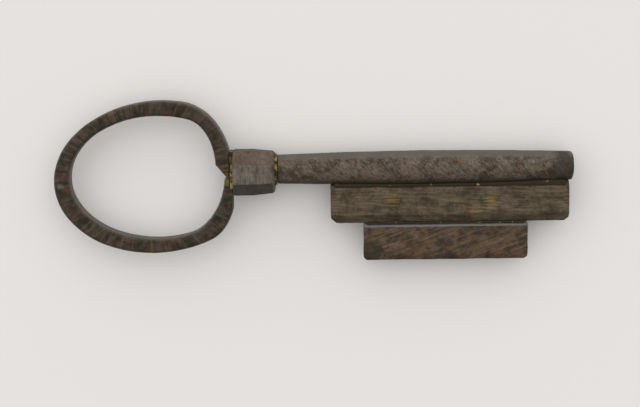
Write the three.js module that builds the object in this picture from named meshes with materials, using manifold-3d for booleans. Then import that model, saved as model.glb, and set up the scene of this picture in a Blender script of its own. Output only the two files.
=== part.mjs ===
// An iron pipe key: a bar bent into an oval bow, an eight-sided collar, a hollow barrel and a two-step bit,
// joined with brass. Millimetres. It is built with X along the barrel's axis, from the collar's back face
// to the nose, Y pointing away from the bit and Z through the key's thickness. At the end the key is set
// down with its lowest face on Z = 0 and the middle of its outline over the origin.
import * as THREE from 'three';
import { mergeVertices } from 'three/addons/utils/BufferGeometryUtils.js';
import Module from 'manifold-3d';

// Fits
const brazeGap = 0.1; // left between any two pieces that brass joins

// Bow: one bent bar, whose two outlines are ellipses pinched in where the arms come down to the collar
const bowCentreX = -17.5;
const bowCentreY = -1.5;
const bowHalfLength = 24.0;
const bowHalfWidth = 17.7;
const bowBarWidthAtEnd = 3.9;
const bowBarWidthAtSides = 3.5;
const bowBarThickness = 4.0;
const bowBarChamfer = 0.6;
const bowOuterTilt = 5.5; // degrees
const bowInnerTilt = 1.8; // degrees
const bowOuterPinchUpper = 7.0;
const bowOuterPinchLower = 5.5;
const bowOuterUpperSpan = 71; // degrees from the joint over which the pinch fades
const bowOuterLowerSpan = 50;
const bowInnerPinchUpper = 6.8;
const bowInnerPinchLower = 4.7;
const bowInnerSpan = 62;
const bowNotchDepth = 2.4; // how far the V between the two tips is cut towards the collar
const bowNotchHalfAngle = 50; // degrees
const bowTipThickness = 0.9; // bar left between the notch's point and the brass

// Collar: a ferrule with eight flats, straight behind and tapered in front
const collarLength = 9.6;
const collarAcrossFlats = 10.3;
const collarFrontAcrossFlats = 9.4;
const collarOffset = 0.6; // towards the bit, of the outside from the bore
const collarStraightLength = 4.5;
const collarBackChamfer = 0.25;
const collarFrontChamfer = 0.5;

// Barrel: a tube, a little fuller at its middle, with a thinner spigot inside the collar
const stemLength = 78.2; // from the collar's back face to the nose
const barrelEndRadius = 3.4;
const barrelBulge = 0.6;
const boreRadius = 2.1;
const spigotRadius = 3.0;
const spigotBackInset = 1.2;
const noseChamfer = 0.3;

// Plug that closes the barrel's back end
const tangBackInset = 0.3;
const tangLength = 15;

// Brass between bow and collar, and between barrel and collar
const seatBrazeThickness = 0.7;
const seatBrazeHalfWidth = 4.4;
const collarBrazeWidth = 0.45;
const collarBrazeDepth = 0.4;

// Bit: a thick bar along the barrel, then a thinner and shorter plate
const bitBarStart = 22.3;
const bitBarLength = 55.2;
const bitBarThickness = 4.4;
const bitBarEdge = 12.8; // distance of its outer edge from the barrel's axis
const bitBarFlatStart = 4.7;
const bitBarFlatEnd = 10.7;
const bitBarNeckDistance = 3.2;
const bitBarNeckThickness = 2.6;
const bitBarEdgeThickness = 2.2;
const bitBarBackCorner = 1.3;
const bitBarNoseCorner = 1.0;
const tongueThickness = 1.4;
const bitRootFloor = 2.9; // distance of the slot's floor from the axis
const bitPlateStart = 29.9;
const bitPlateLength = 38.2;
const bitPlateThickness = 3.6;
const bitPlateEdge = 21.7; // distance of its outer edge from the barrel's axis
const bitPlateTopBevel = 0.7;
const bitPlateTopThickness = 1.9;
const bitPlateEdgeRound = 2.2;
const bitPlateEdgeThickness = 1.6;
const bitPlateCorner = 0.8;
const plateTongueDepth = 1.3;
const rootBrazeWidth = 1.0;
const stepBrazeWidth = 0.5;

// Smoothness of the round shapes
const bowSteps = 120;
const roundSides = 56;
const barrelSteps = 14;
const edgeRoundSteps = 4;
const cutMargin = 1; // how far a cutting tool runs past what it cuts

// Finishes
const bowIron = new THREE.MeshStandardMaterial({ color: 0x4a4136, roughness: 0.62, metalness: 0.7 });
const collarIron = new THREE.MeshStandardMaterial({ color: 0x655e56, roughness: 0.5, metalness: 0.75 });
const barrelIron = new THREE.MeshStandardMaterial({ color: 0x5c5348, roughness: 0.55, metalness: 0.7 });
const bitIron = new THREE.MeshStandardMaterial({ color: 0x574a3b, roughness: 0.58, metalness: 0.65 });
const brass = new THREE.MeshStandardMaterial({ color: 0x9a7d3e, roughness: 0.45, metalness: 0.8 });

const wasm = await Module();
wasm.setup();

// Solids and cuts

// A closed geometry as a solid that can be joined and cut.
function solidOf(geometry) {
  const bare = geometry.clone();
  bare.deleteAttribute('normal');
  bare.deleteAttribute('uv');
  const merged = mergeVertices(bare);
  const corners = merged.index.array;
  const triangles = [];
  for (let i = 0; i < corners.length; i += 3) {
    const [a, b, c] = corners.slice(i, i + 3);
    if (a !== b && b !== c && c !== a) {
      triangles.push(a, b, c);
    }
  }
  return new wasm.Manifold(new wasm.Mesh({
    numProp: 3,
    vertProperties: new Float32Array(merged.attributes.position.array),
    triVerts: new Uint32Array(triangles),
  }));
}

function meshOf(name, solid, material) {
  const result = solid.getMesh();
  const geometry = new THREE.BufferGeometry();
  geometry.setAttribute('position', new THREE.Float32BufferAttribute(result.vertProperties, 3));
  geometry.setIndex(Array.from(result.triVerts));
  geometry.computeVertexNormals();
  const mesh = new THREE.Mesh(geometry, material);
  mesh.name = name;
  return mesh;
}

// A block given by its lowest and highest corners.
function block(low, high) {
  const geometry = new THREE.BoxGeometry(high[0] - low[0], high[1] - low[1], high[2] - low[2]);
  geometry.translate((low[0] + high[0]) / 2, (low[1] + high[1]) / 2, (low[2] + high[2]) / 2);
  return solidOf(geometry);
}

// A shape turned about the X axis from a profile of [x, radius] points.
function turned(profile, sides, firstAngle) {
  const points = profile.map(([x, radius]) => new THREE.Vector2(radius, x));
  const geometry = new THREE.LatheGeometry(points, sides, firstAngle);
  geometry.rotateZ(-Math.PI / 2);
  return solidOf(geometry);
}

// A section of [y, z] points run along X.
function runAlongX(section, startX, endX) {
  const shape = new THREE.Shape(section.map(([y, z]) => new THREE.Vector2(y, z)));
  const geometry = new THREE.ExtrudeGeometry(shape, { depth: endX - startX, bevelEnabled: false });
  const yAxis = new THREE.Vector3(0, 1, 0);
  const zAxis = new THREE.Vector3(0, 0, 1);
  const xAxis = new THREE.Vector3(1, 0, 0);
  geometry.applyMatrix4(new THREE.Matrix4().makeBasis(yAxis, zAxis, xAxis));
  geometry.translate(startX, 0, 0);
  return solidOf(geometry);
}

// An outline of [x, y] points raised to equal heights above and below the key's middle plane.
function raised(outline, thickness) {
  const shape = new THREE.Shape(outline.map(([x, y]) => new THREE.Vector2(x, y)));
  const geometry = new THREE.ExtrudeGeometry(shape, { depth: thickness, bevelEnabled: false });
  geometry.translate(0, 0, -thickness / 2);
  return solidOf(geometry);
}

// The front half of a section, given from the axis outwards, with its mirror image behind.
function mirroredSection(frontHalf) {
  const backHalf = frontHalf.map(([y, z]) => [y, -z]).reverse();
  return [...frontHalf, ...backHalf];
}

// Bow

function bowOutline(halfLength, halfWidth, tilt, upper, lower) {
  const outline = [];
  for (let step = 0; step < bowSteps; step += 1) {
    const angle = THREE.MathUtils.degToRad(((step + 0.5) * 360) / bowSteps - 180);
    const turnedAngle = angle - THREE.MathUtils.degToRad(tilt);
    const oval = 1 / Math.hypot(Math.cos(turnedAngle) / halfLength, Math.sin(turnedAngle) / halfWidth);
    const arm = angle > 0 ? upper : lower;
    const span = THREE.MathUtils.degToRad(arm.span);
    const nearness = 1 - THREE.MathUtils.smoothstep(Math.abs(angle), 0, span);
    const radius = oval - nearness * arm.pinch;
    outline.push(new THREE.Vector2(
      bowCentreX + radius * Math.cos(angle),
      bowCentreY + radius * Math.sin(angle),
    ));
  }
  return outline;
}

// The V and the fine slit between the two tips, from the loop's inside to the brass at the collar.
function tipParting() {
  const pointX = -seatBrazeThickness - brazeGap - bowTipThickness;
  const backX = pointX - bowNotchDepth;
  const spread = bowNotchDepth * Math.tan(THREE.MathUtils.degToRad(bowNotchHalfAngle));
  const notch = raised([
    [pointX, bowCentreY],
    [backX, bowCentreY + spread],
    [backX, bowCentreY - spread],
  ], bowBarThickness + cutMargin);
  const slit = block(
    [pointX - brazeGap, bowCentreY - brazeGap / 2, -bowBarThickness],
    [cutMargin, bowCentreY + brazeGap / 2, bowBarThickness],
  );
  return notch.add(slit);
}

function bowHoop() {
  const shape = new THREE.Shape(bowOutline(bowHalfLength, bowHalfWidth, bowOuterTilt,
    { pinch: bowOuterPinchUpper, span: bowOuterUpperSpan },
    { pinch: bowOuterPinchLower, span: bowOuterLowerSpan }));
  shape.holes.push(new THREE.Path(bowOutline(
    bowHalfLength - bowBarWidthAtEnd,
    bowHalfWidth - bowBarWidthAtSides,
    bowInnerTilt,
    { pinch: bowInnerPinchUpper, span: bowInnerSpan },
    { pinch: bowInnerPinchLower, span: bowInnerSpan },
  )));
  const geometry = new THREE.ExtrudeGeometry(shape, {
    depth: bowBarThickness - 2 * bowBarChamfer,
    bevelThickness: bowBarChamfer,
    bevelSize: bowBarChamfer,
    bevelOffset: -bowBarChamfer,
    bevelSegments: 1,
  });
  geometry.translate(0, 0, bowBarChamfer - bowBarThickness / 2);
  const reach = bowHalfWidth + collarAcrossFlats;
  const collarSpace = block([-brazeGap, -reach, -bowBarThickness], [bowHalfLength, reach, bowBarThickness]);
  const brazeSpace = block(
    [-seatBrazeThickness - brazeGap, -seatBrazeHalfWidth - brazeGap, -bowBarThickness],
    [cutMargin, seatBrazeHalfWidth + brazeGap, bowBarThickness],
  );
  return solidOf(geometry).subtract(collarSpace).subtract(brazeSpace).subtract(tipParting());
}

function bowSeatBraze() {
  const halfThickness = bowBarThickness / 2;
  return block(
    [-seatBrazeThickness, -seatBrazeHalfWidth, -halfThickness],
    [-brazeGap / 2, seatBrazeHalfWidth, halfThickness],
  );
}

// Collar

// The radius at the corners of an octagon that measures this much across its flats.
function octagonCornerRadius(acrossFlats) {
  return acrossFlats / 2 / Math.cos(Math.PI / 8);
}

function collar() {
  const wide = octagonCornerRadius(collarAcrossFlats);
  const front = octagonCornerRadius(collarFrontAcrossFlats);
  const body = turned([
    [0, 0],
    [0, wide - collarBackChamfer],
    [collarBackChamfer, wide],
    [collarStraightLength, wide],
    [collarLength - collarFrontChamfer, front],
    [collarLength, front - collarFrontChamfer],
    [collarLength, 0],
  ], 8, Math.PI / 8).translate([0, -collarOffset, 0]);
  const bore = turned([
    [-cutMargin, 0],
    [-cutMargin, spigotRadius + brazeGap],
    [collarLength + cutMargin, spigotRadius + brazeGap],
    [collarLength + cutMargin, 0],
  ], roundSides, 0);
  return body.subtract(bore);
}

// Barrel

const shoulderX = collarLength + brazeGap;

function barrelRadiusAt(x) {
  const along = (x - shoulderX) / (stemLength - shoulderX);
  return barrelEndRadius + barrelBulge * Math.sin(Math.PI * along);
}

// The barrel's outside from shoulder to nose, grown by an allowance for what fits against it.
function barrelOutside(allowance) {
  const profile = [];
  for (let step = 0; step <= barrelSteps; step += 1) {
    const x = THREE.MathUtils.lerp(shoulderX, stemLength - noseChamfer, step / barrelSteps);
    profile.push([x, barrelRadiusAt(x) + allowance]);
  }
  return profile;
}

function barrel() {
  const tube = turned([
    [spigotBackInset, boreRadius],
    [spigotBackInset, spigotRadius],
    [shoulderX, spigotRadius],
    ...barrelOutside(0),
    [stemLength, barrelEndRadius - noseChamfer],
    [stemLength, boreRadius],
    [spigotBackInset, boreRadius],
  ], roundSides, 0);
  const slot = block(
    [bitBarStart - brazeGap, -barrelEndRadius - barrelBulge - cutMargin, -tongueThickness / 2 - brazeGap],
    [bitBarStart + bitBarLength + brazeGap, -bitRootFloor, tongueThickness / 2 + brazeGap],
  );
  return tube.subtract(slot).subtract(collarBrazeRing(brazeGap));
}

// The ring of brass in the corner between the barrel's shoulder and the collar's front face.
function collarBrazeRing(allowance) {
  const inner = barrelEndRadius - collarBrazeDepth - allowance;
  const outer = barrelEndRadius + collarBrazeDepth;
  const startX = shoulderX - brazeGap / 2;
  return turned([
    [startX, inner],
    [startX, outer],
    [shoulderX + collarBrazeWidth + allowance, barrelEndRadius + allowance],
    [shoulderX + collarBrazeWidth + allowance, inner],
    [startX, inner],
  ], roundSides, 0);
}

function stemTang() {
  const radius = boreRadius - brazeGap;
  return turned([
    [tangBackInset, 0],
    [tangBackInset, radius],
    [tangBackInset + tangLength, radius],
    [tangBackInset + tangLength, 0],
  ], roundSides, 0);
}

// Bit

function barrelClearance() {
  const profile = barrelOutside(brazeGap);
  const [noseX, noseRadius] = profile[profile.length - 1];
  return turned([[shoulderX, 0], ...profile, [noseX + cutMargin, noseRadius], [noseX + cutMargin, 0]],
    roundSides, 0);
}

const bitBarEnd = bitBarStart + bitBarLength;
const bitPlateEnd = bitPlateStart + bitPlateLength;

function bitBar() {
  const section = mirroredSection([
    [-bitBarNeckDistance, bitBarNeckThickness / 2],
    [-bitBarFlatStart, bitBarThickness / 2],
    [-bitBarFlatEnd, bitBarThickness / 2],
    [-bitBarEdge, bitBarEdgeThickness / 2],
  ]);
  const outline = [
    [bitBarStart, 0],
    [bitBarStart, -bitBarEdge + bitBarBackCorner],
    [bitBarStart + bitBarBackCorner, -bitBarEdge],
    [bitBarEnd - bitBarNoseCorner, -bitBarEdge],
    [bitBarEnd, -bitBarEdge + bitBarNoseCorner],
    [bitBarEnd, 0],
  ];
  const tongue = block(
    [bitBarStart, -bitBarFlatStart, -tongueThickness / 2],
    [bitBarEnd, -bitRootFloor - brazeGap, tongueThickness / 2],
  );
  const plateGroove = block(
    [bitPlateStart - brazeGap, -bitBarEdge - cutMargin, -tongueThickness / 2 - brazeGap],
    [bitPlateEnd + brazeGap, -bitBarEdge + plateTongueDepth + brazeGap, tongueThickness / 2 + brazeGap],
  );
  const bar = runAlongX(section, bitBarStart, bitBarEnd).intersect(raised(outline, bitBarThickness + cutMargin));
  return bar.subtract(barrelClearance()).add(tongue).subtract(plateGroove);
}

// The rounded outer edge of the plate, as the quarter of an ellipse.
function plateEdgeRound() {
  const points = [];
  const depth = (bitPlateThickness - bitPlateEdgeThickness) / 2;
  for (let step = 0; step <= edgeRoundSteps; step += 1) {
    const angle = (step / edgeRoundSteps) * (Math.PI / 2);
    points.push([
      -bitPlateEdge + bitPlateEdgeRound * (1 - Math.sin(angle)),
      bitPlateThickness / 2 - depth * (1 - Math.cos(angle)),
    ]);
  }
  return points;
}

function bitPlate() {
  const top = bitBarEdge + brazeGap;
  const section = mirroredSection([
    [-top, bitPlateTopThickness / 2],
    [-top - bitPlateTopBevel, bitPlateThickness / 2],
    ...plateEdgeRound(),
  ]);
  const outline = [
    [bitPlateStart, 0],
    [bitPlateStart, -bitPlateEdge + bitPlateCorner],
    [bitPlateStart + bitPlateCorner, -bitPlateEdge],
    [bitPlateEnd - bitPlateCorner, -bitPlateEdge],
    [bitPlateEnd, -bitPlateEdge + bitPlateCorner],
    [bitPlateEnd, 0],
  ];
  const plate = runAlongX(section, bitPlateStart, bitPlateEnd);
  const tongue = block(
    [bitPlateStart, -top - bitPlateTopBevel, -tongueThickness / 2],
    [bitPlateEnd, -bitBarEdge + plateTongueDepth, tongueThickness / 2],
  );
  return plate.intersect(raised(outline, bitPlateThickness + cutMargin)).add(tongue);
}

// Brass in the valley between barrel and bar, on the front (side 1) or the back (side -1).
function bitRootBraze(side) {
  const rise = (bitBarThickness - bitBarNeckThickness) / 2;
  const slope = rise / (bitBarFlatStart - bitBarNeckDistance);
  const lowZ = bitBarNeckThickness / 2 + 2 * brazeGap;
  const highZ = lowZ + rootBrazeWidth * slope;
  const section = [
    [-bitBarNeckDistance, lowZ],
    [-bitBarNeckDistance - rootBrazeWidth, highZ],
    [-bitBarNeckDistance + 2 * brazeGap, highZ],
  ].map(([y, z]) => [y, z * side]);
  const strip = runAlongX(section, bitBarStart + bitBarNoseCorner, bitBarEnd - bitBarNoseCorner);
  return strip.subtract(barrelClearance());
}

// Brass at the bottom of the step between bar and plate.
function stepBraze(side) {
  const lowZ = Math.max(bitBarEdgeThickness, bitPlateTopThickness) / 2 + brazeGap;
  const highZ = lowZ + stepBrazeWidth / 2;
  const section = [
    [-bitBarEdge - brazeGap / 2, lowZ],
    [-bitBarEdge - stepBrazeWidth / 2, highZ],
    [-bitBarEdge + stepBrazeWidth / 2, highZ],
  ].map(([y, z]) => [y, z * side]);
  return runAlongX(section, bitPlateStart + bitPlateCorner, bitPlateEnd - bitPlateCorner);
}

// The key, set down on the collar's lowest flat

const key = new THREE.Group();
key.add(meshOf('bow_hoop', bowHoop(), bowIron));
key.add(meshOf('bow_seat_braze', bowSeatBraze(), brass));
key.add(meshOf('collar', collar(), collarIron));
key.add(meshOf('barrel', barrel(), barrelIron));
key.add(meshOf('barrel_seam_braze', collarBrazeRing(0), brass));
key.add(meshOf('stem_tang', stemTang(), barrelIron));
key.add(meshOf('bit_bar', bitBar(), bitIron));
key.add(meshOf('bit_plate', bitPlate(), bitIron));
key.add(meshOf('bit_root_braze_front', bitRootBraze(1), brass));
key.add(meshOf('bit_root_braze_back', bitRootBraze(-1), brass));
key.add(meshOf('step_braze_front', stepBraze(1), brass));
key.add(meshOf('step_braze_back', stepBraze(-1), brass));

const extent = new THREE.Box3().setFromObject(key, true);
const middle = extent.getCenter(new THREE.Vector3());
key.position.set(-middle.x, -middle.y, -extent.min.z);

export default key;
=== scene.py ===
# %% [markdown]
# # An old iron pipe key
# The key is made of iron pieces that brass holds together: a bow bent from bar, an eight-sided collar, a
# hollow barrel and a bit in two steps. The exact solids come from the frame. Here each one gets what a
# hundred years of filing, brazing and pockets leave: softened edges, shallow dents and a brown patina.

# %% The frame
import math

import bmesh
import bpy
from mathutils import Matrix, Vector, noise


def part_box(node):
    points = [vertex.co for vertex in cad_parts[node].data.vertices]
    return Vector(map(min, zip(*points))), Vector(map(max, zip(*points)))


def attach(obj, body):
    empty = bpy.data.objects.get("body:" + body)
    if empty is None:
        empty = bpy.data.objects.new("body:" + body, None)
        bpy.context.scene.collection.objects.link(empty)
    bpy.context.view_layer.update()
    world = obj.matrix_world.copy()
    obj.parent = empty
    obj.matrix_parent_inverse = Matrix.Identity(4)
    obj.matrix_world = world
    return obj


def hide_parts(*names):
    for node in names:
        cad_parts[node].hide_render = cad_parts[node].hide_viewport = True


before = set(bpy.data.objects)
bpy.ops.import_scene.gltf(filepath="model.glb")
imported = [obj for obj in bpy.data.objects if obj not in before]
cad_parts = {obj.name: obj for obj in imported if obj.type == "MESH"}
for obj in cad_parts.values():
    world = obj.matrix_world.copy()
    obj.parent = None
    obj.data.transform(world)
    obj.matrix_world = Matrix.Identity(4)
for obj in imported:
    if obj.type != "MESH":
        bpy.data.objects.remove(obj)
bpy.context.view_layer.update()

MM = 0.001

# %% [markdown]
# ## The camera
# The key was seen from almost straight above, through a lens about 30 degrees wide. It was rolled a little
# about its barrel, so that the sides facing away from the bit show, and its nose is a little higher in the
# picture. The camera could look straight down at a tilted key, but the key has to lie flat on its floor, so
# the camera leans over instead.

# %% The camera
PICTURE_WIDTH = 148.7 * MM
SENSOR_WIDTH = 36
AIM_ALONG = 1.5 * MM
AIM_BESIDE_BARREL = 8.2 * MM
VIEW_ANGLE = math.radians(30)
LEAN = math.radians(10)
ROLL = math.radians(-0.75)
axis_y = sum(corner.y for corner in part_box("barrel_seam_braze")) / 2
axis_z = sum(corner.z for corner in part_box("barrel")) / 2
aim = Vector((AIM_ALONG, axis_y - AIM_BESIDE_BARREL, axis_z))


def add_camera():
    data = bpy.data.cameras.new("camera")
    data.sensor_width = SENSOR_WIDTH
    data.lens = data.sensor_width / 2 / math.tan(VIEW_ANGLE / 2)
    camera = bpy.data.objects.new("camera", data)
    bpy.context.scene.collection.objects.link(camera)
    distance = PICTURE_WIDTH / 2 / math.tan(VIEW_ANGLE / 2)
    stand = aim + distance * Vector((0, math.sin(LEAN), math.cos(LEAN)))
    turn = Matrix.Rotation(-LEAN, 4, "X") @ Matrix.Rotation(ROLL, 4, "Z")
    camera.matrix_world = Matrix.Translation(stand) @ turn
    bpy.context.scene.camera = camera
    return distance


print("camera distance", round(add_camera(), 4), "m")

# %% [markdown]
# ## Writing materials as sums
# A material is a small calculation at every point of the surface. Nodes can be wired one by one, but the
# sums then get lost in wiring. Wire holds one socket, and plain arithmetic on it adds the Math nodes. Paint
# holds the material and the few patterns that old metal needs.


# %% Wires
class Wire:
    """One output socket, on which plain arithmetic adds Math nodes."""

    def __init__(self, paint, socket):
        self.paint = paint
        self.socket = socket

    def math(self, operation, first, second):
        return self.paint.node("ShaderNodeMath", {"operation": operation}, {0: first, 1: second})

    def __add__(self, other):
        return self.math("ADD", self, other)

    def __sub__(self, other):
        return self.math("SUBTRACT", self, other)

    def __mul__(self, other):
        return self.math("MULTIPLY", self, other)

    def __rsub__(self, other):
        return self.math("SUBTRACT", other, self)

    __radd__ = __add__
    __rmul__ = __mul__


# %% Paints
MARK_STRETCH = 0.1  # a file mark is ten times as long as it is wide
RING_DEPTH_STRETCH = 0.3
BUMP_STRENGTH = 0.8


class Paint:
    """A material under construction, with its Principled shader."""

    def __init__(self, name):
        self.material = bpy.data.materials.new(name)
        self.material.use_nodes = True
        self.tree = self.material.node_tree
        self.shader = self.tree.nodes["Principled BSDF"]
        self.place = self.node("ShaderNodeTexCoord", {}, {}, "Object")

    def node(self, kind, settings, values, output=0):
        made = self.tree.nodes.new(kind)
        for key, value in settings.items():
            setattr(made, key, value)
        for key, value in values.items():
            self.feed(made.inputs[key], value)
        return Wire(self, made.outputs[output])

    def feed(self, socket, value):
        if isinstance(value, Wire):
            self.tree.links.new(value.socket, socket)
        else:
            socket.default_value = value

    def stretched(self, turn):
        """Coordinates turned about Z by degrees and drawn out along X, for straight file marks."""
        turned = self.node("ShaderNodeMapping", {}, {
            "Vector": self.place, "Rotation": (0, 0, math.radians(turn))})
        return self.node("ShaderNodeMapping", {}, {"Vector": turned, "Scale": (MARK_STRETCH, 1, 1)})

    def around(self, centre, radius):
        """Coordinates round a centre, drawn out along the radius, for marks filed across a ring."""
        arm = self.node("ShaderNodeVectorMath", {"operation": "SUBTRACT"}, {0: self.place, 1: centre})
        parts = self.node("ShaderNodeSeparateXYZ", {}, {0: arm})
        up = Wire(self, parts.socket.node.outputs["Y"])
        height = Wire(self, parts.socket.node.outputs["Z"])
        angle = self.node("ShaderNodeMath", {"operation": "ARCTAN2"}, {0: up, 1: parts})
        reach = self.node("ShaderNodeVectorMath", {"operation": "LENGTH"}, {0: arm}, "Value")
        return self.node("ShaderNodeCombineXYZ", {}, {
            0: angle * radius, 1: reach * MARK_STRETCH, 2: height * RING_DEPTH_STRETCH})

    def grain(self, scale, detail=4, where=None):
        """Noise with about this many grains to a metre."""
        return self.node("ShaderNodeTexNoise", {}, {
            "Vector": where or self.place, "Scale": scale, "Detail": detail}, "Fac")

    def between(self, wire, low, high):
        """0 below low, 1 above high, and a smooth rise between."""
        return self.node("ShaderNodeMapRange", {"interpolation_type": "SMOOTHSTEP"}, {
            "Value": wire, "From Min": low, "From Max": high})

    def mix(self, amount, first, second):
        """One colour laid over another."""
        return self.node("ShaderNodeMix", {"data_type": "RGBA"}, {0: amount, 6: first, 7: second}, 2)

    def near(self, point, reach):
        """1 at a point of the key and 0 beyond its reach."""
        gap = self.node("ShaderNodeVectorMath", {"operation": "DISTANCE"},
                        {0: self.place, 1: point}, "Value")
        return 1 - self.between(gap, 0, reach)

    def finish(self, colour, roughness, metallic, height, depth):
        bump = self.node("ShaderNodeBump", {}, {
            "Height": height, "Distance": depth, "Strength": BUMP_STRENGTH})
        self.feed(self.shader.inputs["Base Color"], colour)
        self.feed(self.shader.inputs["Roughness"], roughness)
        self.feed(self.shader.inputs["Metallic"], metallic)
        self.feed(self.shader.inputs["Normal"], bump)
        return self.material


def tint(red, green, blue):
    """A colour as it looks on a screen, 0 to 255, in the shader's linear numbers."""
    return tuple((level / 255) ** 2.2 for level in (red, green, blue)) + (1,)


# %% [markdown]
# ## Old iron
# Hand-filed iron keeps the scratches of the file, and a patina of brown and olive settles between them.
# Small dark pits dot the faces. The hollows are painted dark, partly as grime and partly as painted shade,
# the ridges are painted bright, partly as wear and partly as painted highlight, and each side is painted
# lighter or darker by the way it faces, as painted light and shade. A picture of rusty metal could be laid
# over the piece, but a pattern worked out in the material fits every side of it. So each finish is one
# colour laid over another, each as far as its own pattern says.

# %% The iron's tones
RUST = tint(104, 68, 44)
PIT = tint(30, 25, 18)
# Pale rubbed iron, which on the ridges also stands for painted highlight.
RUBBED_HIGHLIGHT = tint(168, 160, 148)
# Dark grime, which in the hollows also stands for painted shade.
GRIME_AND_SHADE = tint(36, 30, 20)
DARK_PATINA = tint(42, 41, 31)
BARE = tint(134, 131, 122)
BRASS_STAIN = tint(132, 114, 54)
print("rust in linear numbers", RUST)

# %% The iron's patterns, in grains to a metre
CLOUDS = 300
SMALL_CLOUDS = 900
RUST_CLOUDS = 330
SPECKLES = 2600
PITS = 1900
SCRATCHES = 4200
CROSS_SCRATCHES = 3600
EDGE_WEAR_AND_HIGHLIGHT_BREAKS = 500
PATINA_BREAKS = 420
IRON_RELIEF = 0.08 * MM
print("relief of the iron", IRON_RELIEF, "m")


# %% Iron
def iron(name, dark, middle, light, stroke, rub_and_highlight, file_turns=(), ring=None,
         brass_spots=(), pale_spots=(), dark_spots=(), sides=()):
    """Filed iron: stroke is how many file strokes lie side by side in a metre."""
    paint = Paint(name)
    speckle = paint.grain(SPECKLES, 3)
    clouds = paint.grain(CLOUDS, 6) * 0.6 + paint.grain(SMALL_CLOUDS, 4) * 0.4
    if ring:
        routes = [paint.around(*ring)]
    else:
        routes = [paint.stretched(turn) for turn in file_turns]
    streaks = paint.grain(stroke, 4, routes[0])
    crossing = paint.grain(CROSS_SCRATCHES, 3, routes[-1])
    scratches = paint.grain(SCRATCHES, 3, routes[0]) * 0.6 + crossing * 0.4
    colour = paint.mix(paint.between(clouds, 0.38, 0.58), dark, middle)
    colour = paint.mix(paint.between(streaks, 0.50, 0.72) * 0.45, colour, light)
    colour = paint.mix(paint.between(1 - streaks, 0.50, 0.66) * 0.6, colour, dark)
    rust = paint.between(paint.grain(RUST_CLOUDS, 3), 0.55, 0.68)
    colour = paint.mix(rust * 0.3, colour, RUST)
    colour = paint.mix(paint.between(scratches, 0.52, 0.70) * 0.35, colour, light)
    colour = paint.mix(paint.between(speckle, 0.50, 0.70) * 0.35, colour, dark)
    pits = paint.between(paint.grain(PITS, 2), 0.64, 0.72)
    colour = paint.mix(pits * 0.7, colour, PIT)
    colour = rubbed_highlights_and_grimy_shade(paint, colour, rub_and_highlight)
    # Each side is painted lighter or darker by the way it faces: painted light and shade.
    colour = painted_side_light_and_shade(paint, colour, sides)
    for point, reach in dark_spots:
        patch = paint.between(paint.near(point, reach) + paint.grain(PATINA_BREAKS, 4), 0.75, 1.05)
        colour = paint.mix(patch * 0.7, colour, DARK_PATINA)
    for point, reach in pale_spots:
        patch = paint.between(paint.near(point, reach) * 0.45 + clouds, 0.74, 1.00)
        colour = paint.mix(patch * 0.5, colour, BARE)
    for point, reach in brass_spots:
        patch = paint.between(paint.near(point, reach) * 0.5 + streaks, 0.74, 1.10)
        colour = paint.mix(patch * 0.55, colour, BRASS_STAIN)
    roughness = 0.58 + speckle * 0.2
    height = scratches * 0.7 + streaks * 0.4 + speckle * 0.2 - pits * 0.5
    return paint.finish(colour, roughness, 0.5, height, IRON_RELIEF)


def rubbed_highlights_and_grimy_shade(paint, colour, rub_and_highlight):
    """Paints the ridges bright, partly as wear and partly as painted highlight, as much as the rubbing share
    says, and paints the hollows dark, partly as grime and partly as painted shade.
    """
    pointed = paint.node("ShaderNodeNewGeometry", {}, {}, "Pointiness")
    # The ridges are painted bright: partly wear, partly painted highlight.
    ridge_rub_and_highlight = paint.between(pointed, 0.515, 0.58) * paint.between(paint.grain(EDGE_WEAR_AND_HIGHLIGHT_BREAKS, 3), 0.30, 0.60)
    # The hollows are painted dark: partly grime, partly painted shade.
    hollow_grime_and_shade = 1 - paint.between(pointed, 0.40, 0.48)
    colour = paint.mix(ridge_rub_and_highlight * rub_and_highlight, colour, RUBBED_HIGHLIGHT)
    return paint.mix(hollow_grime_and_shade * 0.7, colour, GRIME_AND_SHADE)


def painted_side_light_and_shade(paint, colour, sides):
    """Paints light and shade by the way a surface faces. Each side is the way it faces, where its painted
    tone begins and is full, the tone, and the tone's share.
    """
    facing = paint.node("ShaderNodeTexCoord", {}, {}, "Normal")
    for direction, begins, full, tone, share in sides:
        lean = paint.node("ShaderNodeVectorMath", {"operation": "DOT_PRODUCT"},
                          {0: facing, 1: direction}, "Value")
        colour = paint.mix(paint.between(lean, begins, full) * share, colour, tone)
    return colour


# %% [markdown]
# ## Where the stains are
# A few marks belong to one place: brass that ran on to the bar and the bow, a bare patch at the bow's far
# end, and a darker patina at the nose and on the plate. They could be small pieces of their own, but a
# stain has no thickness, so the iron's pattern is only told where it lies: a point and its reach.

# %% Stains
FACE_HEIGHT = 2.2 * MM  # of the bar's upper face over the barrel's axis


def on_key(along, across):
    """A point on the key's upper face, in millimetres from the collar's back and the barrel's axis."""
    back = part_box("collar")[0].x
    return (back + along * MM, axis_y + across * MM, axis_z + FACE_HEIGHT)


BRASS_ON_BAR = (
    (on_key(36.6, -7.4), 4.2 * MM),
    (on_key(59.4, -7.7), 4.0 * MM),
    (on_key(55.9, -10.0), 3.4 * MM),
    (on_key(37.3, -13.0), 2.6 * MM),
    (on_key(58.2, -12.1), 2.6 * MM),
)
BRASS_AT_BOW = ((on_key(-1.0, -2.2), 4.0 * MM), (on_key(-0.8, 1.6), 3.0 * MM))
BARE_AT_BOW = ((on_key(-39.8, -3.0), 2.2 * MM),)
DARK_AT_NOSE = ((on_key(75.5, 0), 6 * MM),)
DARK_ON_PLATE = ((on_key(31, -20), 6 * MM), (on_key(50, -22), 4 * MM))
print("stains on bar", len(BRASS_ON_BAR), "at bow", len(BRASS_AT_BOW + BARE_AT_BOW))
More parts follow.
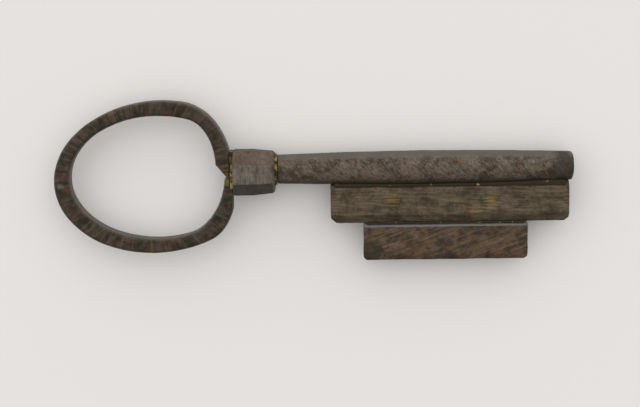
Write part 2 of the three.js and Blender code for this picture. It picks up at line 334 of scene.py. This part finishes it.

# %% Painted light and shade on the sides
AWAY_FROM_BIT = (0, 1, 0)
TOWARDS_BIT = (0, -1, 0)
DOWN = (0, 0, -1)
# Painted highlight: the bow's walls are painted a lighter grey than its upper face.
BOW_WALL_HIGHLIGHT = ((DOWN, -0.80, -0.50, tint(104, 100, 92), 0.75),)
# Painted shade on the collar: its flats away from the bit are painted a darker red-brown, and those towards
# the bit darker still.
COLLAR_FLAT_SHADE = (
    (AWAY_FROM_BIT, 0.5, 0.6, tint(80, 60, 50), 0.45),
    (TOWARDS_BIT, 0.5, 0.6, tint(54, 52, 49), 0.75),
)
# Painted highlight on the barrel's side away from the bit, and painted shade on its side towards the bit.
BARREL_SIDE_LIGHT_AND_SHADE = (
    (AWAY_FROM_BIT, 0.62, 0.80, tint(90, 88, 82), 0.8),
    (TOWARDS_BIT, 0.5, 0.8, tint(46, 46, 34), 0.75),
)
# Painted shade on the bar's bevel towards the bit.
BAR_EDGE_SHADE = ((TOWARDS_BIT, 0.35, 0.7, tint(46, 42, 28), 0.7),)
# Painted highlight, a blue-grey sheen, on the plate's edge away from the bit.
PLATE_EDGE_HIGHLIGHT = ((AWAY_FROM_BIT, 0.3, 0.6, tint(126, 128, 132), 0.6),)
print("sides with a tone", len(BOW_WALL_HIGHLIGHT + COLLAR_FLAT_SHADE + BARREL_SIDE_LIGHT_AND_SHADE + BAR_EDGE_SHADE + PLATE_EDGE_HIGHLIGHT))

# %% [markdown]
# ## Five iron finishes
# Each piece was filed in its own way: the bow across its bar, the collar round, the barrel in two crossing
# directions, the bar along its length and the plate on a slant. One finish for all could be turned to
# suit each, but their browns differ too, so each piece gets its own.

# %% The five finishes
bow_low, bow_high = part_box("bow_hoop")
bow_centre = (bow_low + bow_high) / 2
bow_radius = (bow_high.y - bow_low.y) / 2

bow_iron = iron("bow_iron", tint(34, 29, 20), tint(68, 58, 45), tint(98, 86, 74),
                stroke=1500, rub_and_highlight=0.08, ring=(bow_centre, bow_radius),
                brass_spots=BRASS_AT_BOW, pale_spots=BARE_AT_BOW, sides=BOW_WALL_HIGHLIGHT)
# The collar's high rubbing share paints its corners bright: partly wear, partly painted highlight.
collar_iron = iron("collar_iron", tint(62, 54, 46), tint(98, 90, 82), tint(126, 119, 110),
                   stroke=1900, rub_and_highlight=0.9, file_turns=(90,), sides=COLLAR_FLAT_SHADE)
barrel_iron = iron("barrel_iron", tint(56, 47, 36), tint(98, 87, 76), tint(132, 120, 110),
                   stroke=3600, rub_and_highlight=0.05, file_turns=(48, -48), dark_spots=DARK_AT_NOSE, sides=BARREL_SIDE_LIGHT_AND_SHADE)
bar_iron = iron("bar_iron", tint(58, 48, 34), tint(92, 81, 65), tint(114, 105, 86),
                stroke=2300, rub_and_highlight=0.1, file_turns=(1, 4), brass_spots=BRASS_ON_BAR, sides=BAR_EDGE_SHADE)
plate_iron = iron("plate_iron", tint(50, 40, 30), tint(90, 73, 55), tint(118, 105, 90),
                  stroke=2000, rub_and_highlight=0.08, file_turns=(-20, -34), dark_spots=DARK_ON_PLATE, sides=PLATE_EDGE_HIGHLIGHT)
iron_finishes = (bow_iron, collar_iron, barrel_iron, bar_iron, plate_iron)
print("iron finishes", [made.name for made in iron_finishes])

# %% [markdown]
# ## Brass
# The brass ran into the joints as hard solder and was never polished, so it is dull yellow with brown dirt
# on it. The seams along the bit lie in corners, so their brass is painted darker than at the collar, partly
# as dirt and partly as painted shade. A second brass would do for them, but the same one with more dirt and
# painted shade keeps them alike.

# %% Brass
BRASS = tint(138, 114, 58)
DIRT_AND_SHADE = tint(52, 44, 29)
DIRT_CLOUDS = 700
SOLDER_RIPPLES = 1600
BRASS_RELIEF = 0.06 * MM


def dull_brass(name, clean_and_lit):
    """Brass under its dirt and painted shade: the higher its clean share, the more of the brass shows."""
    paint = Paint(name)
    dirt_and_shade = paint.between(paint.grain(DIRT_CLOUDS, 4), 0.30 + 0.3 * clean_and_lit, 0.42 + 0.3 * clean_and_lit)
    colour = paint.mix(dirt_and_shade, BRASS, DIRT_AND_SHADE)
    return paint.finish(colour, 0.42 + dirt_and_shade * 0.3, 0.6, paint.grain(SOLDER_RIPPLES, 3), BRASS_RELIEF)


brass = dull_brass("dull_brass", 0.4)
# The brass for the bit's corners: more dirt, and painted shade.
dirty_and_shaded_brass = dull_brass("dirty_and_shaded_brass", -0.15)
print("brass finishes", brass.name, dirty_and_shaded_brass.name)

# %% [markdown]
# ## From an exact solid to a forged piece
# The solids have knife-sharp edges and perfectly flat faces. A bevel would give every edge the same width,
# as a machine does. Remeshing the solid into small even squares and smoothing them rounds each edge as a
# hand file would, and the fine squares can then be pushed in and out a few hundredths of a millimetre.
# The cut between the bow's tips leaves a thin flake in its solid, which remeshing turns into a loose crumb,
# so only the largest island of squares is kept.


# %% A copy in even squares
def merged_copy(node, name):
    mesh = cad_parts[node].data.copy()
    work = bmesh.new()
    work.from_mesh(mesh)
    bmesh.ops.remove_doubles(work, verts=work.verts, dist=0.001 * MM)
    work.to_mesh(mesh)
    work.free()
    piece = bpy.data.objects.new(name, mesh)
    bpy.context.scene.collection.objects.link(piece)
    return piece


def remeshed(piece, square):
    modifier = piece.modifiers.new("even_squares", "REMESH")
    modifier.mode = "VOXEL"
    modifier.voxel_size = square
    graph = bpy.context.evaluated_depsgraph_get()
    fine = bpy.data.meshes.new_from_object(piece.evaluated_get(graph))
    piece.modifiers.clear()
    piece.data = fine


# %% Crumbs and dents
WIDE_DENTS = 190  # to a metre
FINE_DENTS = 950
WIDE_SHARE = 0.75
FINE_SHARE = 0.25
LET_IN = 0.6  # how deep the dents' middle lies under the solid's face, as a share of their depth


def drop_crumbs(work):
    """Deletes every loose island but the largest."""
    unseen = set(work.verts)
    islands = []
    while unseen:
        island = [unseen.pop()]
        for point in island:
            for edge in point.link_edges:
                other = edge.other_vert(point)
                if other in unseen:
                    unseen.remove(other)
                    island.append(other)
        islands.append(island)
    islands.sort(key=len)
    print("crumbs", [len(island) for island in islands[:-1]])
    for island in islands[:-1]:
        bmesh.ops.delete(work, geom=island, context="VERTS")


def dented(piece, rounding, dent, seed, swell):
    """Rounds the edges, then moves each point by a noise of wide dents and fine roughness."""
    work = bmesh.new()
    work.from_mesh(piece.data)
    drop_crumbs(work)
    for _ in range(rounding):
        bmesh.ops.smooth_vert(work, verts=work.verts, factor=0.5,
                              use_axis_x=True, use_axis_y=True, use_axis_z=True)
    work.normal_update()
    offset = Vector((seed, 0, 0))
    for point in work.verts:
        wide = noise.noise(point.co * WIDE_DENTS + offset)
        fine = noise.noise(point.co * FINE_DENTS + offset)
        point.co += point.normal * (swell + dent * (WIDE_SHARE * wide + FINE_SHARE * fine - LET_IN))
    work.to_mesh(piece.data)
    work.free()


# %% Finishing and forging
def finished(piece, node, material, smooth):
    for face in piece.data.polygons:
        face.use_smooth = smooth
    piece.data.materials.clear()
    piece.data.materials.append(material)
    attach(piece, "root")
    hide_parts(node)
    print(piece.name, len(piece.data.polygons), "faces")


def forged(node, name, material, square, rounding, dent, seed, swell=0):
    piece = merged_copy(node, name)
    remeshed(piece, square)
    dented(piece, rounding, dent, seed, swell)
    finished(piece, node, material, True)


# %% [markdown]
# ## The iron pieces
# The barrel was drawn and filed round, so it is smoothed most and its dents are shallow. The bow was bent
# hot and filed smooth. The bit's bar and plate were hammered flat and rub in the lock, so they have the
# deepest dents. One set of numbers could serve all four, but then they would look cast in one mould.

# %% Bow, barrel and bit
forged("bow_hoop", "bent_bow", bow_iron,
       square=0.14 * MM, rounding=8, dent=0.1 * MM, seed=3)
forged("barrel", "drawn_barrel", barrel_iron,
       square=0.18 * MM, rounding=10, dent=0.08 * MM, seed=19)
forged("bit_bar", "bit_thick_bar", bar_iron,
       square=0.15 * MM, rounding=6, dent=0.14 * MM, seed=27)
forged("bit_plate", "bit_thin_plate", plate_iron,
       square=0.13 * MM, rounding=6, dent=0.12 * MM, seed=35)

# %% [markdown]
# ## The collar
# Its eight flats meet in straight bright lines, which remeshing would blur. Here the flats are joined up
# from the solid's triangles again, and a narrow bevel with a rounded profile breaks each corner.

# %% Collar
COLLAR_BREAK = 0.22 * MM
ONE_FLAT = math.radians(4)
CORNER = math.radians(20)


def filed_collar():
    piece = merged_copy("collar", "filed_collar")
    work = bmesh.new()
    work.from_mesh(piece.data)
    bmesh.ops.dissolve_limit(work, angle_limit=ONE_FLAT, verts=work.verts, edges=work.edges)
    corners = [edge for edge in work.edges if edge.is_manifold and edge.calc_face_angle() > CORNER]
    bmesh.ops.bevel(work, geom=corners, offset=COLLAR_BREAK, offset_type="OFFSET", affect="EDGES",
                    segments=3, profile=0.5, material=-1, clamp_overlap=True)
    work.to_mesh(piece.data)
    work.free()
    finished(piece, "collar", collar_iron, False)


filed_collar()

# %% [markdown]
# ## The brass in the joints
# Each seam holds a bead of brass. The beads are thin, so they are remeshed in finer squares and dented more
# for their size, as solder that froze where it ran.

# %% Brass beads
BEADS = ("bow_seat_braze", "barrel_seam_braze", "bit_root_braze_front", "bit_root_braze_back",
         "step_braze_front", "step_braze_back")
BEAD_SWELL = 0.13 * MM  # over the fitting gap to the iron on either side
FIRST_BEAD_SEED = 50
for order, bead in enumerate(BEADS):
    # The beads along the bit take the brass with painted shade.
    finish = dirty_and_shaded_brass if bead.startswith(("bit", "step")) else brass
    forged(bead, bead + "_bead", finish, square=0.08 * MM, rounding=2, dent=0.08 * MM,
           seed=FIRST_BEAD_SEED + order, swell=BEAD_SWELL)

# %% [markdown]
# ## The plug inside the barrel
# The plug shows only to someone who looks down the bore. Its solid already has its shape, so it stays and
# only takes the barrel's finish.

# %% Plug
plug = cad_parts["stem_tang"]
plug.data.materials.clear()
plug.data.materials.append(barrel_iron)
print("plug finished")

# %% [markdown]
# ## Floor and light
# The key lies on a plain pale ground under a soft light from the side away from the bit. A ring of lamps
# would give the iron hard highlights. A sky that is brighter on that side gives the broad, quiet sheen.

# %% Floor
GROUND = tint(218, 216, 214)
GROUND_SHADE = tint(208, 206, 205)
GROUND_CLOUDS = 6
GROUND_RELIEF = 0.01 * MM
FLOOR_HALF = 1.5


def add_floor():
    work = bmesh.new()
    bmesh.ops.create_grid(work, x_segments=4, y_segments=4, size=FLOOR_HALF)
    mesh = bpy.data.meshes.new("ground")
    work.to_mesh(mesh)
    work.free()
    floor = bpy.data.objects.new("ground", mesh)
    bpy.context.scene.collection.objects.link(floor)
    paint = Paint("pale_ground")
    cloud = paint.grain(GROUND_CLOUDS, 1)
    colour = paint.mix(cloud * 0.2, GROUND, GROUND_SHADE)
    floor.data.materials.append(paint.finish(colour, 0.9, 0.0, cloud, GROUND_RELIEF))


add_floor()
print("floor made")

# %% Light
SKY_SIDE = Vector((-0.15, 0.95, 0.3)).normalized()
SKY_COLOUR = (1, 0.99, 0.98, 1)
DARK_AT = -0.7
BRIGHT_AT = 0.9
DARK_STRENGTH = 0.3
BRIGHT_STRENGTH = 1.75


def add_sky():
    world = bpy.data.worlds.new("sky")
    world.use_nodes = True
    bpy.context.scene.world = world
    tree = world.node_tree
    background = tree.nodes["Background"]
    background.inputs["Color"].default_value = SKY_COLOUR
    place = tree.nodes.new("ShaderNodeTexCoord")
    side = tree.nodes.new("ShaderNodeVectorMath")
    side.operation = "DOT_PRODUCT"
    side.inputs[1].default_value = SKY_SIDE
    tree.links.new(place.outputs["Generated"], side.inputs[0])
    level = tree.nodes.new("ShaderNodeMapRange")
    level.inputs["From Min"].default_value = DARK_AT
    level.inputs["From Max"].default_value = BRIGHT_AT
    level.inputs["To Min"].default_value = DARK_STRENGTH
    level.inputs["To Max"].default_value = BRIGHT_STRENGTH
    tree.links.new(side.outputs["Value"], level.inputs["Value"])
    tree.links.new(level.outputs["Result"], background.inputs["Strength"])


add_sky()
bpy.context.scene.view_settings.view_transform = "Standard"
print("sky made, brightest towards", tuple(SKY_SIDE))
